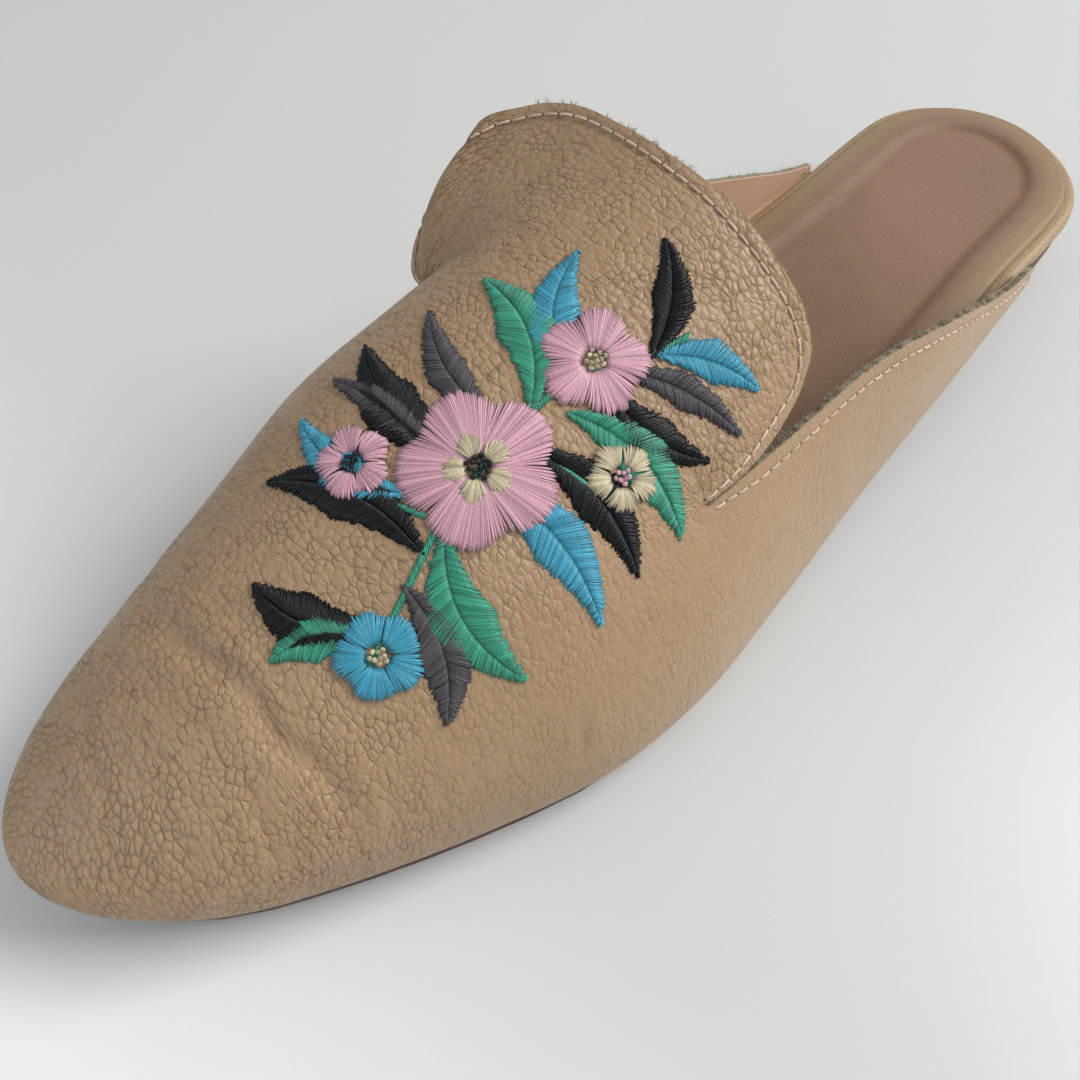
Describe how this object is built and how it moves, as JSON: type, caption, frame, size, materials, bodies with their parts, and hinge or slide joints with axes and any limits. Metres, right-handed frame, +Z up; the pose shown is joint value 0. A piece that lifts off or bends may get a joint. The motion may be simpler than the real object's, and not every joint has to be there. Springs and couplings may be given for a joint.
{
  "type": "backless mule clog",
  "caption": "Backless leather slip-on clog for the left foot: pointed toe, rounded tongue, V-notched low quarters, padded footbed and a low stacked heel.",
  "frame": {"origin": "bottom centre of the bounding box: on the floor, midway between heel back and toe tip, midway between the widest points", "axes": "+Z up, heel towards +Y, toe towards -Y, outer side of the left foot towards +X"},
  "size_m": [0.0848, 0.2712, 0.0719],
  "materials": {
    "upper_leather": "tumbled tan-beige leather, soft sheen",
    "rim_leather": "smooth tan leather wrap",
    "sock_leather": "smooth pinkish-brown leather, matt",
    "sole_leather": "dark reddish-brown, waxed edge",
    "heel_stack": "stacked leather, waxed",
    "heel_rubber": "matt"
  },
  "bodies": {
    "root": {"upper": "upper_leather", "footbed": "rim_leather", "sock_lining": "sock_leather", "outsole": "sole_leather", "heel_block": "heel_stack", "heel_top_piece": "heel_rubber"}
  },
  "joints": []
}
